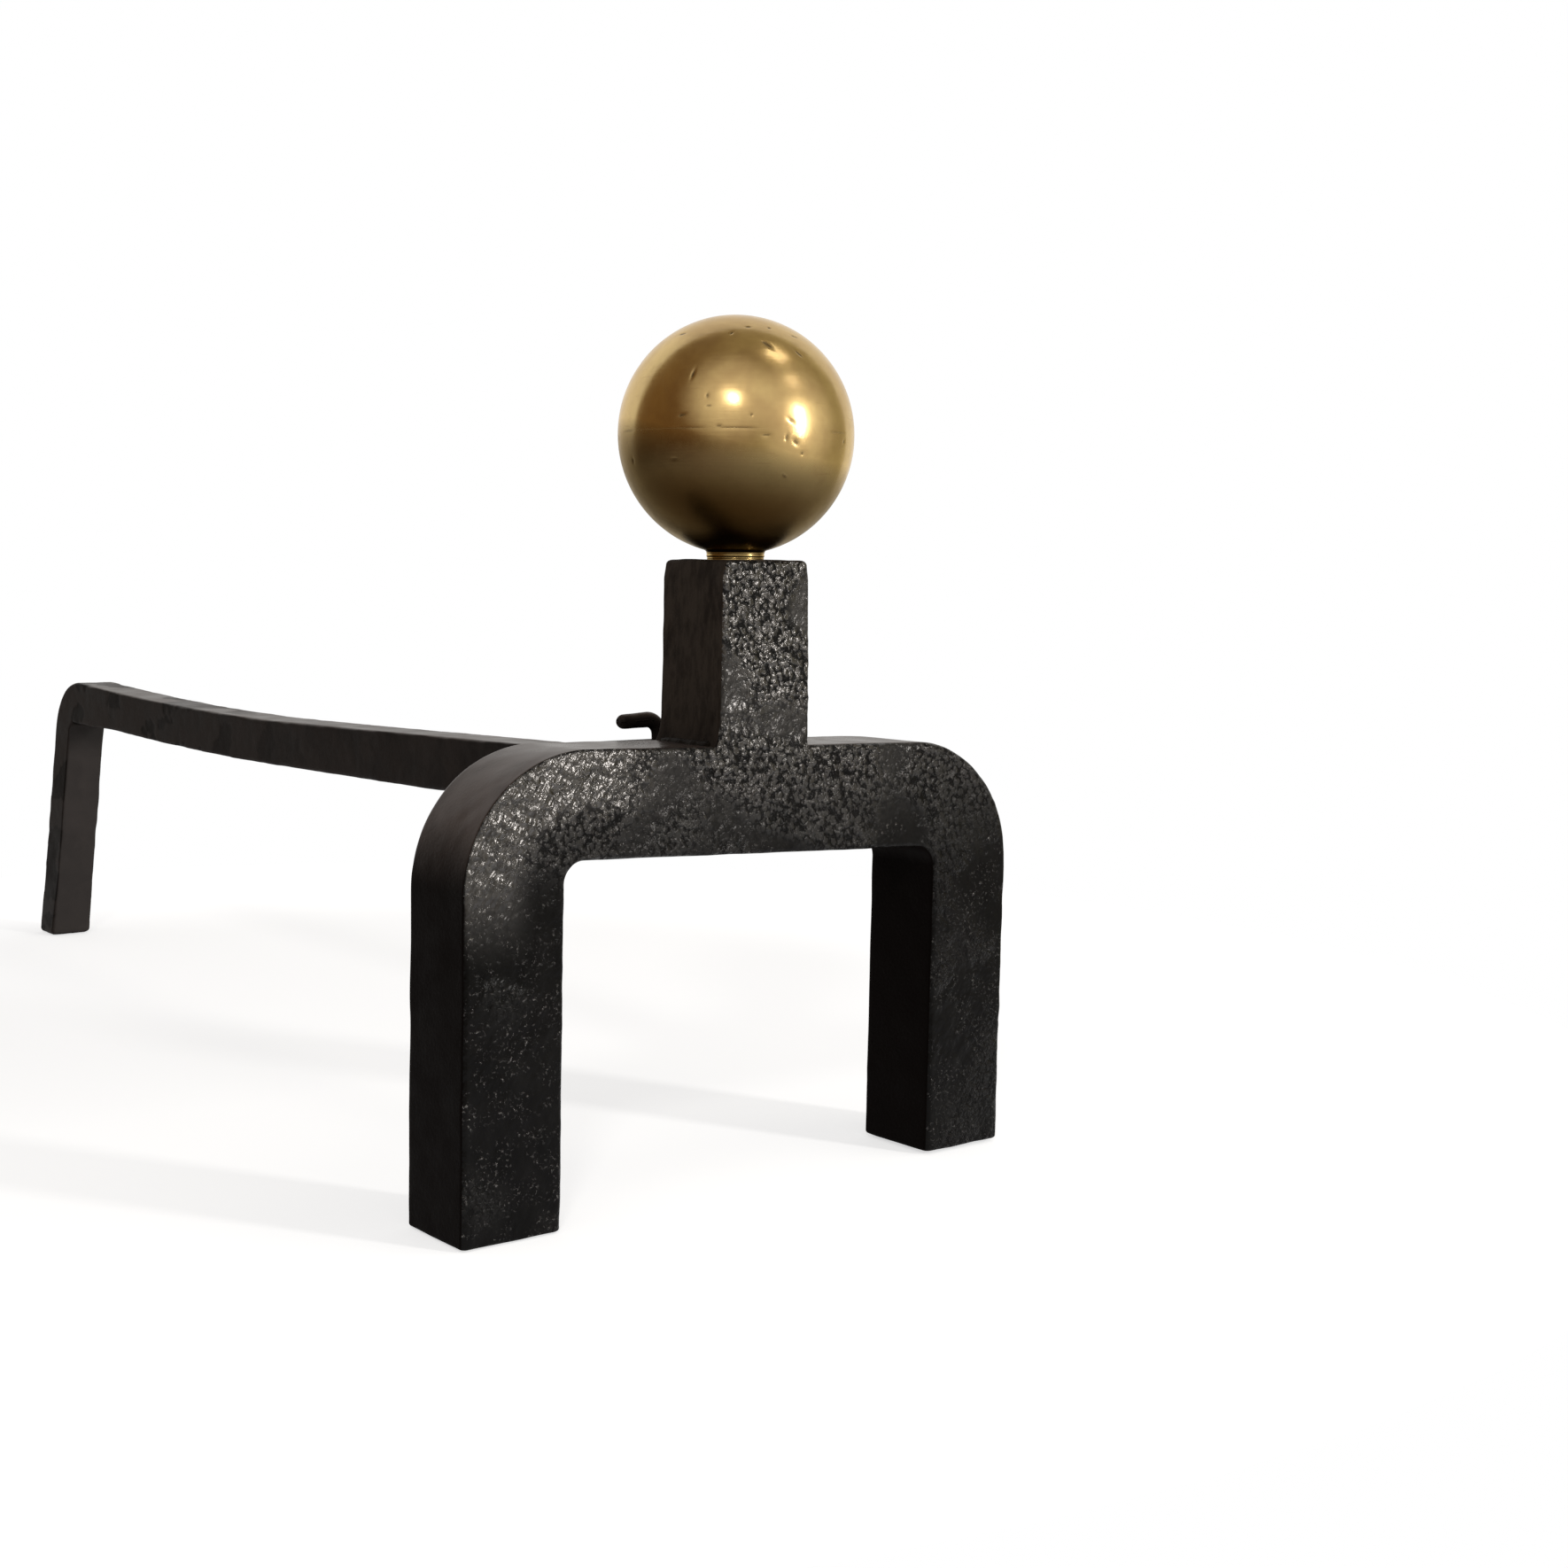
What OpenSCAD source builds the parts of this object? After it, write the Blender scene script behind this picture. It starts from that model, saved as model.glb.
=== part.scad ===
// Andiron: a square bar bent into a two-legged front arch, a square post welded on its
// crossbar with a hollow brass ball screwed on top, and a loose log bar that plugs into a
// socket behind the crossbar, is held by a drop pin, and ends in a splayed rear leg.
// Millimetres, +Z up, the front faces -Y, and the origin is on the floor, at the centre
// of the whole object's outline. Depths are counted back from the arch's front face.

/* [Front arch] */
// Width across the two front legs
overall_w = 245; // [200:1:320]
// Side of the square bar that the arch is bent from
arch_bar = 38; // [36:0.5:44]
// Height of the crossbar's top above the floor
crossbar_top = 163.5; // [145:0.5:200]
// Inside radius of the arch's two bends
arch_bend_r = 10; // [4:0.5:16]

/* [Post] */
// Height of the post above the crossbar
post_h = 66; // [50:0.5:110]
// Width of the post at its top
post_top_w = 39; // [30:0.5:44]
// Width of the post at its foot
post_foot_w = 41; // [30:0.5:48]
// Leg of the weld bead on each side of the post's foot
post_bead = 4; // [2:0.5:6]

/* [Ball finial] */
// Outside diameter of the hollow ball
ball_d = 85; // [60:1:110]
// Thickness of the ball's wall
ball_wall = 3; // [2:0.25:5]
// Depth of the lip by which the upper half sits inside the lower half
lip_h = 4; // [2:0.5:8]
// Thickness of that lip
lip_t = 1.5; // [1:0.1:2.5]
// Diameter of the turned neck under the ball
neck_d = 20.5; // [18:0.5:26]
// Height of the neck's straight band
neck_band_h = 0.3; // [0.1:0.1:6]
// Radius of the hollow curve that runs from the neck into the ball
neck_flare_r = 5; // [3:0.5:8]
// Outside diameter of the washer under the neck
washer_d = 20.5; // [18:0.5:28]
// Thickness of the washer
washer_t = 1; // [0.8:0.2:3]
// Diameter of the stud that the ball screws on
stud_d = 10; // [8:0.5:12]
// Length of stud inside the post
stud_in_post = 22; // [14:1:40]
// Length of stud inside the ball's bush
stud_in_bush = 15; // [10:0.5:18]
// Wall of the threaded bush inside the neck
bush_wall = 3; // [2:0.25:3.5]

/* [Log bar] */
// Depth from the arch's front face to the back of the rear foot
stance_d = 718; // [450:1:800]
// Width of the log bar
log_w = 22; // [16:0.5:28]
// Height of the log bar in its socket
log_front_h = 25.4; // [20:0.2:28]
// Height of the log bar past its low point, and thickness of the rear leg
log_rear_h = 22; // [18:0.5:26]
// Drop from the crossbar's top to the log bar's top
log_drop = 8.1; // [7:0.1:9]
// Drop of the log bar's low point below its front end
log_sag = 5.2; // [0:0.2:12]
// Length of the stretch that rises from the low point to the rear bend
log_rise_l = 245; // [100:1:280]
// Angle at which the bar rises where it meets the rear bend
log_sweep = 3.2; // [0:0.2:6]
// Outside radius of the rear bend
rear_bend_r = 40; // [24:1:50]
// Inside radius of the rear bend
rear_corner_r = 5; // [2:0.5:10]
// Angle by which the rear leg leans back
leg_splay = 14.3; // [0:0.1:20]

/* [Socket] */
// Length of the socket behind the arch
socket_l = 45; // [40:1:60]
// Wall of the socket
socket_wall = 4.5; // [3:0.25:4.75]
// Play between the socket and the bar's sides and top
socket_play = 0.4; // [0.2:0.1:0.8]
// Leg of the weld bead on each side of the socket
socket_bead = 5; // [3:0.5:8]

/* [Drop pin] */
// Diameter of the pin
pin_d = 6; // [4:0.5:8]
// Distance of the pin behind the arch
pin_back = 28; // [20:1:32]
// Play around the pin, on the radius
pin_play = 0.1; // [0.05:0.05:0.5]
// Length of pin below the socket
pin_tail = 4; // [2:0.5:12]
// Centre-line radius of the pin's bend
pin_bend_r = 9; // [6:0.5:12]
// Angle by which the bent end points down
pin_droop = 6; // [0:1:20]
// Length of the bent end after the bend
pin_handle = 8; // [5:0.5:30]
// Diameter of the bent end's tip
pin_tip_d = 4.4; // [3:0.2:6]

/* [Hidden] */
$fn = 96;

iron = "#24211f";
iron_worn = "#332f2c";
weld_metal = "#2e2a24";
brass = "#b08d4a";
steel = "#6f6a62";
cut = 1;                    // run-out of every cutting shape past the face that it cuts
curve_steps = 12;           // straight steps in each of the log bar's curves

// The ball may reach further forward than the arch does
ball_r = ball_d / 2;
ball_overhang = max(0, ball_r - arch_bar / 2);
front_y = (ball_overhang - stance_d) / 2;
leg_inner_x = overall_w / 2 - arch_bar;
crossbar_bottom = crossbar_top - arch_bar;

// Post and finial, one on top of the other
post_top = crossbar_top + post_h;
post_mid_y = front_y + arch_bar / 2;
neck_z = post_top + washer_t;
flare_z = neck_z + neck_band_h;
neck_r = neck_d / 2;
// The flare touches the neck and the ball, so its centre is ball_r + neck_flare_r from the
// ball's centre and neck_r + neck_flare_r from the axis.
flare_drop = sqrt(pow(ball_r + neck_flare_r, 2) - pow(neck_r + neck_flare_r, 2));
ball_z = flare_z + flare_drop;

// Inside of the ball
bush_r = stud_d / 2 + bush_wall;
stud_play = 0.05;           // round the stud in the bush, on the radius
washer_play = 0.2;          // round the stud in the washer, on the radius
stud_end_gap = 1;           // between the stud's end and the end of the bush's bore
bush_l = stud_in_bush + stud_end_gap + bush_wall;
// The lip clears the lower half's hollow at its lower edge, where that is narrowest, and
// its upper edge runs on into the upper half's wall.
ball_in_r = ball_r - ball_wall;
lip_play = 0.1;
lip_out_r = sqrt(pow(ball_in_r, 2) - pow(lip_h, 2)) - lip_play;
lip_rise = sqrt(pow(ball_in_r, 2) - pow(lip_out_r - lip_t, 2));

// Socket around the front end of the log bar
log_front_top = crossbar_top - log_drop;
log_front_bottom = log_front_top - log_front_h;
socket_in_w = log_w + 2 * socket_play;
socket_out_w = socket_in_w + 2 * socket_wall;
socket_top = log_front_top + socket_play + socket_wall;
socket_bottom = log_front_bottom - socket_wall;
socket_end = arch_bar + socket_l;
pin_y = arch_bar + pin_back;
pin_hole_r = pin_d / 2 + pin_play;

// Rear bend: the top line rises at log_sweep and turns down into the leg, which leans back
// by leg_splay. The outer arc's run along each line is its radius times tan(turn / 2).
log_low_z = log_front_top - log_sag;
rear_turn = 90 - leg_splay + log_sweep;
outer_run = rear_bend_r * tan(rear_turn / 2);
inner_run = rear_corner_r * tan(rear_turn / 2);
bend_z = log_low_z + tan(log_sweep) * log_rise_l / 2;
bend_y = stance_d - outer_run * cos(log_sweep)
         - tan(leg_splay) * (bend_z + outer_run * sin(log_sweep));
log_low_y = bend_y - log_rise_l;
leg_t = log_rear_h / cos(leg_splay);

// Height of the bar's top, and the bar's own height, at a depth y behind the front face
function log_top(y) =
    y <= socket_end ? log_front_top :
    y <= log_low_y ? log_front_top - log_sag * (y - socket_end) / (log_low_y - socket_end) :
    log_low_z + (bend_z - log_low_z) * pow((y - log_low_y) / log_rise_l, 2);
function log_h(y) =
    y <= socket_end ? log_front_h :
    y >= log_low_y ? log_rear_h :
    log_front_h + (log_rear_h - log_front_h) * (y - socket_end) / (log_low_y - socket_end);
// Depths at which the outline takes a point: the socket's two ends, then even steps
log_ys = concat([arch_bar, socket_end],
    [for (i = [0:curve_steps - 1]) log_low_y + log_rise_l * i / curve_steps]);
function reversed(list) = [for (i = [len(list) - 1:-1:0]) list[i]];
// Where the bar's underside, run on straight, meets the front of the leg
under_z = bend_z - log_rear_h;
corner_y = (stance_d - leg_t - tan(leg_splay) * (under_z - tan(log_sweep) * bend_y))
           / (1 + tan(leg_splay) * tan(log_sweep));
corner_z = under_z + tan(log_sweep) * (corner_y - bend_y);
// Arc of radius r that leaves the point p along the rising line and turns down into the leg
function bend_arc(p, r) =
    [for (i = [0:curve_steps]) let (a = 90 + log_sweep - rear_turn * i / curve_steps)
        p + r * [sin(log_sweep) + cos(a), sin(a) - cos(log_sweep)]];

// A concave weld bead of the given leg, in the corner of the first quadrant
module bead_section(leg) {
    difference() {
        square(leg);
        translate([leg, leg]) circle(r = leg);
    }
}

// Upright block with its two top corners rounded, standing on the line y = 0
module round_topped(w, h, r) {
    translate([-w / 2, 0]) square([w, h - r]);
    translate([-w / 2 + r, 0]) square([w - 2 * r, h]);
    for (side = [-1, 1]) translate([side * (w / 2 - r), h - r]) circle(r = r);
}

// Square bar bent into two legs and a crossbar
module arch() {
    color(iron)
    translate([0, front_y + arch_bar, 0]) rotate([90, 0, 0]) linear_extrude(arch_bar)
    difference() {
        round_topped(overall_w, crossbar_top, arch_bend_r + arch_bar);
        translate([0, -cut])
            round_topped(2 * leg_inner_x, crossbar_bottom + cut, arch_bend_r);
    }
}

// Slightly tapered upright, tapped in its top for the stud
module post() {
    color(iron)
    difference() {
        translate([0, front_y + arch_bar, crossbar_top]) rotate([90, 0, 0])
            linear_extrude(arch_bar)
            polygon([[-post_foot_w / 2, 0], [post_foot_w / 2, 0],
                     [post_top_w / 2, post_h], [-post_top_w / 2, post_h]]);
        translate([0, post_mid_y, post_top - stud_in_post])
            cylinder(h = stud_in_post + cut, d = stud_d);
    }
}

// Beads on the left and right of the post's foot, on the crossbar's top
module post_welds() {
    lean = post_bead * (post_foot_w - post_top_w) / 2 / post_h;  // of the post, at the bead's top
    color(weld_metal)
    translate([0, front_y + arch_bar, crossbar_top]) rotate([90, 0, 0])
    linear_extrude(arch_bar)
    for (side = [0, 1]) mirror([side, 0]) translate([post_foot_w / 2, 0]) {
        difference() {
            polygon([[0, 0], [post_bead, 0], [post_bead, post_bead], [-lean, post_bead]]);
            translate([post_bead, post_bead]) circle(r = post_bead);
        }
    }
}

// Threaded rod, shown plain, from the post's tapped hole up into the ball's bush
module stud() {
    color(steel)
    translate([0, post_mid_y, post_top - stud_in_post])
        cylinder(h = stud_in_post + washer_t + stud_in_bush, d = stud_d);
}

// Brass washer between the post and the neck
module neck_washer() {
    color(brass)
    translate([0, post_mid_y, post_top])
    difference() {
        cylinder(h = washer_t, d = washer_d);
        translate([0, 0, -cut])
            cylinder(h = washer_t + 2 * cut, r = stud_d / 2 + washer_play);
    }
}

// Lower half of the ball, with the turned neck flaring into it
module ball_lower() {
    color(brass)
    translate([0, post_mid_y, 0])
    difference() {
        union() {
            translate([0, 0, ball_z]) sphere(r = ball_r);
            rotate_extrude() difference() {
                translate([0, neck_z]) square([neck_r + neck_flare_r, ball_z - neck_z]);
                translate([neck_r + neck_flare_r, flare_z]) circle(r = neck_flare_r);
                translate([neck_r, neck_z - cut])
                    square([neck_flare_r + cut, neck_band_h + cut]);
            }
        }
        translate([0, 0, ball_z]) sphere(r = ball_in_r);
        translate([-ball_r - cut, -ball_r - cut, ball_z])
            cube([ball_d + 2 * cut, ball_d + 2 * cut, ball_r + cut]);
        translate([0, 0, neck_z - cut]) cylinder(h = ball_r, r = bush_r);
    }
}

// Upper half of the ball, with a thin lip that reaches down inside the lower half
module ball_upper() {
    color(brass)
    translate([0, post_mid_y, ball_z]) {
        difference() {
            sphere(r = ball_r);
            sphere(r = ball_in_r);
            translate([-ball_r - cut, -ball_r - cut, -ball_r - cut])
                cube([ball_d + 2 * cut, ball_d + 2 * cut, ball_r + cut]);
        }
        difference() {
            translate([0, 0, -lip_h]) cylinder(h = lip_h + lip_rise, r = lip_out_r);
            translate([0, 0, -lip_h - cut])
                cylinder(h = lip_h + lip_rise + 2 * cut, r = lip_out_r - lip_t);
        }
    }
}

// Threaded bush, shown with a plain bore, brazed in the neck
module ball_bush() {
    color(brass)
    translate([0, post_mid_y, neck_z])
    difference() {
        cylinder(h = bush_l, r = bush_r);
        translate([0, 0, -cut])
            cylinder(h = cut + stud_in_bush + stud_end_gap, r = stud_d / 2 + stud_play);
    }
}

// Short sleeve behind the crossbar that takes the log bar's front end
module socket() {
    color(iron_worn)
    translate([0, front_y, 0])
    difference() {
        translate([-socket_out_w / 2, arch_bar, socket_bottom])
            cube([socket_out_w, socket_l, socket_top - socket_bottom]);
        translate([-socket_in_w / 2, arch_bar - cut, log_front_bottom])
            cube([socket_in_w, socket_l + 2 * cut, log_front_h + socket_play]);
        translate([0, pin_y, socket_bottom - cut])
            cylinder(h = socket_top - socket_bottom + 2 * cut, r = pin_hole_r);
    }
}

// Upright beads where the socket's two sides meet the back of the crossbar
module socket_welds() {
    color(weld_metal)
    translate([0, front_y + arch_bar, socket_bottom])
    linear_extrude(socket_top - socket_bottom)
    for (side = [0, 1]) mirror([side, 0])
        translate([socket_out_w / 2, 0]) bead_section(socket_bead);
}

// Square bar, low in the middle, bent down into the splayed rear leg
module log_bar() {
    along = [cos(log_sweep), sin(log_sweep)];
    inner_start = [corner_y, corner_z] - inner_run * along;
    outside = concat([for (y = log_ys) [y, log_top(y)]],
        bend_arc([bend_y, bend_z], rear_bend_r), [[stance_d, 0]]);
    inside = concat([for (y = log_ys) [y, log_top(y) - log_h(y)]],
        bend_arc(inner_start, rear_corner_r), [[stance_d - leg_t, 0]]);
    color(iron_worn)
    translate([0, front_y, 0])
    difference() {
        rotate([90, 0, 90]) linear_extrude(log_w, center = true)
            polygon(concat(outside, reversed(inside)));
        translate([0, pin_y, log_front_bottom - cut])
            cylinder(h = log_front_h + 2 * cut, r = pin_hole_r);
    }
}

// Round pin with its upper end bent over to the left as a finger hold
module drop_pin() {
    pin_bottom = socket_bottom - pin_tail;
    bend_end = 90 + pin_droop;
    color(iron)
    translate([0, front_y + pin_y, 0]) {
        translate([0, 0, pin_bottom]) cylinder(h = socket_top - pin_bottom, d = pin_d);
        translate([-pin_bend_r, 0, socket_top]) rotate([90, 0, 0]) {
            rotate_extrude(angle = bend_end) translate([pin_bend_r, 0]) circle(d = pin_d);
            rotate(bend_end) translate([pin_bend_r, 0, 0]) rotate([-90, 0, 0]) {
                cylinder(h = pin_handle, d1 = pin_d, d2 = pin_tip_d);
                translate([0, 0, pin_handle]) sphere(d = pin_tip_d);
            }
        }
    }
}

arch();
post();
post_welds();
stud();
neck_washer();
ball_lower();
ball_upper();
ball_bush();
socket();
socket_welds();
log_bar();
drop_pin();
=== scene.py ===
"""Finish for the andiron: rough forged iron, an aged brass ball, a pale studio.

The script is laid out as an add-on with one operator for each piece. Shapes are worked out
in millimetres in the frame of the CAD model (+Z up, the arch's front faces -Y) and turned
into metres when a mesh is made.
"""

import itertools
import math

import bpy
import numpy as np
from bpy.props import FloatProperty, FloatVectorProperty, PointerProperty
from mathutils import Matrix, Vector


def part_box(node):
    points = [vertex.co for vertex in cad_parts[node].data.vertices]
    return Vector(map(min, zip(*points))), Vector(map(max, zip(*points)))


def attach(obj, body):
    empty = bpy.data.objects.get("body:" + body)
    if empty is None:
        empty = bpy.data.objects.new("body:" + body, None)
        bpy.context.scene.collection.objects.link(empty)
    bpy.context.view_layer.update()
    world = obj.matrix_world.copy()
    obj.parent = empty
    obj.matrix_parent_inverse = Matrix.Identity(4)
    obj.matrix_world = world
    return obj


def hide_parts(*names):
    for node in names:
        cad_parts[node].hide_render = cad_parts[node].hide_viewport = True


bl_info = {
    "name": "Andiron finish",
    "version": (1, 0, 0),
    "blender": (4, 5, 0),
    "location": "3D View > Sidebar > Andiron",
    "description": "Forged iron and aged brass pieces of an andiron, and its studio",
    "category": "Object",
}

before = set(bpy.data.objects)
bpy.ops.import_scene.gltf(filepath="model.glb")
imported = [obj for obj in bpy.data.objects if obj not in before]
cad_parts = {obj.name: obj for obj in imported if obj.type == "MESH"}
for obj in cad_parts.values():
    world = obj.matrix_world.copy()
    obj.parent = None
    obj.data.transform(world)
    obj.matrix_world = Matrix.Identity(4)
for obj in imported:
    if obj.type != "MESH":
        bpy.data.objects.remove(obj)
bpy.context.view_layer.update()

MM = 0.001
LATTICE = 64                    # cells of random values before a noise repeats
# The lattice is turned, so that its cells do not line up with the faces.
TURN = np.array(Matrix.Rotation(0.7, 3, Vector((0.3, 0.8, 0.5)).normalized()))


def node_mm(name):
    """Lowest and highest corner of a CAD node, in millimetres."""
    low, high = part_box(name)
    return np.array(low) / MM, np.array(high) / MM


ARCH_LOW, ARCH_HIGH = node_mm("arch")
POST_LOW, POST_HIGH = node_mm("post")
BAR_LOW, BAR_HIGH = node_mm("log_bar")
PIN_LOW, PIN_HIGH = node_mm("drop_pin")
SOCKET_LOW, SOCKET_HIGH = node_mm("socket")
UPPER_LOW, UPPER_HIGH = node_mm("ball_upper")
WASHER_LOW, WASHER_HIGH = node_mm("neck_washer")
NECK_Z = node_mm("ball_lower")[0][2]

FRONT_Y = ARCH_LOW[1]
# The ball's radius is 0.3 mm more than the CAD's; it sits to the right of the post's
# middle, forward and low.
BALL_R = (UPPER_HIGH[0] - UPPER_LOW[0]) / 2 + 0.3
BALL_C = np.array([0.35, (UPPER_LOW[1] + UPPER_HIGH[1]) / 2 - 0.25,
                   UPPER_HIGH[2] - BALL_R - 0.6])


# ---- shapes by arrays

def ramp(low, high, value):
    """Smooth ramp: 0 below low, 1 above high, and t*t*(3 - 2t) between them."""
    t = np.clip((value - low) / (high - low), 0, 1)
    return t * t * (3 - 2 * t)


def lattice_noise(points, cell, seed):
    """Smooth noise from -1 to 1: random values at the corners of a turned cubic lattice,
    blended across each cell with the weight t*t*(3 - 2t) along every axis."""
    values = np.random.default_rng(seed).uniform(-1, 1, (LATTICE,) * 3)
    scaled = points @ TURN / cell
    base = np.floor(scaled).astype(int)
    t = scaled - base
    t = t * t * (3 - 2 * t)
    total = 0
    for corner in itertools.product((0, 1), repeat=3):
        at = (base + corner) % LATTICE
        weight = np.prod(np.where(np.array(corner) == 1, t, 1 - t), axis=-1)
        total = total + values[at[..., 0], at[..., 1], at[..., 2]] * weight
    return total


def unit(vectors):
    """Vectors brought to the length 1."""
    length = np.linalg.norm(vectors, axis=-1, keepdims=True)
    return vectors / np.maximum(length, 1e-9)


def grid_normals(rows):
    """Unit normals of a grid of points: the difference along rows crossed with the
    difference along columns, pointing out of the closed surface."""
    around = np.roll(rows, -1, axis=1) - np.roll(rows, 1, axis=1)
    normals = np.cross(np.gradient(rows, axis=0), around)
    if np.sum((rows - rows.mean(axis=(0, 1))) * normals) < 0:
        normals = -normals
    return unit(normals)


def grid_faces(shape, first, ring_closed):
    """Quads between neighbouring rows and columns; the last column joins the first, and
    the last row joins the first if ring_closed. first is the number of the first point."""
    rows, columns = shape
    row = np.arange(rows if ring_closed else rows - 1)[:, None]
    column = np.arange(columns)[None, :]
    next_row, next_column = (row + 1) % rows, (column + 1) % columns
    corners = (row * columns + column, row * columns + next_column,
               next_row * columns + next_column, next_row * columns + column)
    return first + np.stack(np.broadcast_arrays(*corners), axis=-1).reshape(-1, 4)


def make_piece(name, grids, body, nodes, finishes, ring_closed=False, masks=None):
    """One mesh of closed grids of points in millimetres. An open grid's first and last row
    close in a pole at the middle of that row. masks are numbers per point of an only grid,
    by name; faces where the first is mostly above a half wear the second finish."""
    points, quads, fans, values = [], [], [], {key: [] for key in masks or {}}
    count = 0
    for rows in grids:
        flat = rows.reshape(-1, 3)
        faces = grid_faces(rows.shape[:2], count, ring_closed)
        outward = signed_volume(np.concatenate(points + [flat]), faces) > 0
        points.append(flat)
        quads.append(faces if outward else faces[:, ::-1])
        for key, parts in values.items():
            parts.append(masks[key].reshape(-1))
        if not ring_closed:
            ring = count + np.arange(rows.shape[1])
            for end in (0, len(rows) - 1):
                pole = np.full(len(ring), count + len(flat) + (end > 0))
                fan = np.stack([ring, np.roll(ring, -1), pole], axis=-1)
                fan[:, :2] += end * len(ring)
                fans.append(fan if outward == (end > 0) else fan[:, ::-1])
                points.append(rows[end].mean(axis=0, keepdims=True))
                for key, parts in values.items():
                    parts.append(masks[key][end].mean(keepdims=True))
        count = sum(len(p) for p in points)
    mesh = bpy.data.meshes.new(name)
    faces = sum((part.tolist() for part in quads + fans), [])
    mesh.from_pydata(np.concatenate(points) * MM, [], faces)
    mesh.polygons.foreach_set("use_smooth", np.ones(len(mesh.polygons), bool))
    for key, parts in values.items():
        mesh.attributes.new(key, "FLOAT", "POINT").data.foreach_set(
            "value", np.concatenate(parts).astype(np.float32))
    for finish in finishes:
        mesh.materials.append(material_of(finish))
    if len(finishes) > 1:
        share = np.concatenate(next(iter(values.values())))
        second = [share[part].mean(axis=1) > 0.5 for part in quads + fans]
        mesh.polygons.foreach_set("material_index", np.concatenate(second).astype(np.int32))
    piece = bpy.data.objects.new(name, mesh)
    bpy.context.scene.collection.objects.link(piece)
    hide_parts(*nodes)
    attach(piece, body)
    return piece


def signed_volume(points, quads):
    """Sum over both triangles of each quad of a . (b x c) / 6."""
    a, b, c, d = (points[quads[:, k]] for k in range(4))
    return np.sum(a * (np.cross(b, c) + np.cross(c, d))) / 6


def section_plan(counts, corner=4):
    """Round the edge of a section with four flats of the given numbers of steps: where each
    point lies along the two half-widths (-1 to 1), and its outward direction."""
    spots, facing = [], []
    corners = np.array(((-1.0, -1), (1, -1), (1, 1), (-1, 1)))
    for k, (start, stop) in enumerate(zip(corners, np.roll(corners, -1, axis=0))):
        t = np.linspace(0, 1, counts[k] + 1)[:, None]
        turns = (k - 1 + np.append(0 * t, np.arange(1, corner) / corner)) * math.pi / 2
        spots += [start * (1 - t) + stop * t, np.tile(stop, (corner - 1, 1))]
        facing.append(np.stack([np.cos(turns), np.sin(turns)], axis=-1))
    return np.concatenate(spots), np.concatenate(facing)


def sweep(plan, centre, axis_a, axis_b, half_a, half_b, edge):
    """A rounded rectangle carried along a path: each point is the centre, plus its share of
    the half-width less the edge radius, plus the edge radius in its outward direction."""
    spots, facing = plan
    edge = np.minimum(np.minimum(edge, half_a), half_b)[:, None]
    a = spots[None, :, 0] * (half_a[:, None] - edge) + facing[None, :, 0] * edge
    b = spots[None, :, 1] * (half_b[:, None] - edge) + facing[None, :, 1] * edge
    return centre[:, None] + a[..., None] * axis_a[:, None] + b[..., None] * axis_b[:, None]


def path_arrays(centre, axis_a, axis_b, half_a, half_b, edge):
    """A path: its points, the directions and half-widths of its section, and the radius of
    its edges. A single direction or number holds all along it."""
    shapes = 3 * [(len(centre), 3)] + 3 * [(len(centre),)]
    parts = centre, axis_a, axis_b, half_a, half_b, edge
    return [np.broadcast_to(np.asarray(part, float), shape)
            for part, shape in zip(parts, shapes)]


def capped(path, edge_start, edge_stop, steps=4, flat=9):
    """Adds to a path's arrays the rows of its two ends: the section draws in along a
    quarter circle of the edge radius, and then shrinks to almost nothing on the flat."""
    centre, axis_a, axis_b, half_a, half_b, edge = path
    angles = np.arange(1, steps + 1) / steps * math.pi / 2
    inset = np.append(1 - np.cos(angles), np.ones(flat))
    reach = np.append(np.sin(angles), np.ones(flat))[:, None]
    share = np.append(np.ones(steps), np.linspace(1, 0.02, flat + 1)[1:])
    rows = []
    for end, before, radius in ((0, 1, edge_start), (-1, -2, edge_stop)):
        out = unit(centre[end] - centre[before])
        new = path_arrays(centre[end] + radius * reach * out, axis_a[end], axis_b[end],
                          (half_a[end] - radius * inset) * share,
                          (half_b[end] - radius * inset) * share, edge[end] * share)
        rows.append([part[::-1] for part in new] if end == 0 else new)
    return [np.concatenate(parts) for parts in zip(rows[0], path, rows[1])]


def between_outlines(outer, inner, across, half_across, edge):
    """Path arrays of a bar whose section runs from an inner to an outer outline, point by
    point, and reaches half_across to each side along the direction across."""
    gap = outer - inner
    half = np.linalg.norm(gap, axis=-1) / 2
    return path_arrays((outer + inner) / 2, gap / (2 * half[:, None]), across, half,
                       half_across, edge)


def line(start, stop, count):
    """Even steps from start towards stop, without the last."""
    t = np.arange(count)[:, None] / count
    return np.array(start, float) * (1 - t) + np.array(stop, float) * t


def on_circle(centre, radius, degrees):
    """Points on a circle, by the angle from its right-hand side."""
    angle = np.radians(degrees)
    return np.array(centre) + radius * np.stack([np.cos(angle), np.sin(angle)], axis=-1)


def arc(centre, radius, first, last, count):
    """Points on a circle from the angle first towards last, in degrees, without the last."""
    return on_circle(centre, radius, first + (last - first) * np.arange(count) / count)


def revolve(profile, centre, columns):
    """A profile of (radius, height) turned round the vertical line through the centre."""
    angle = np.arange(columns) / columns * 2 * math.pi
    radius, height = profile[:, 0, None], profile[:, 1, None]
    return np.stack([centre[0] + radius * np.cos(angle), centre[1] + radius * np.sin(angle),
                     np.broadcast_to(height, (len(profile), columns))], axis=-1)


# ---- forged surfaces

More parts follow.
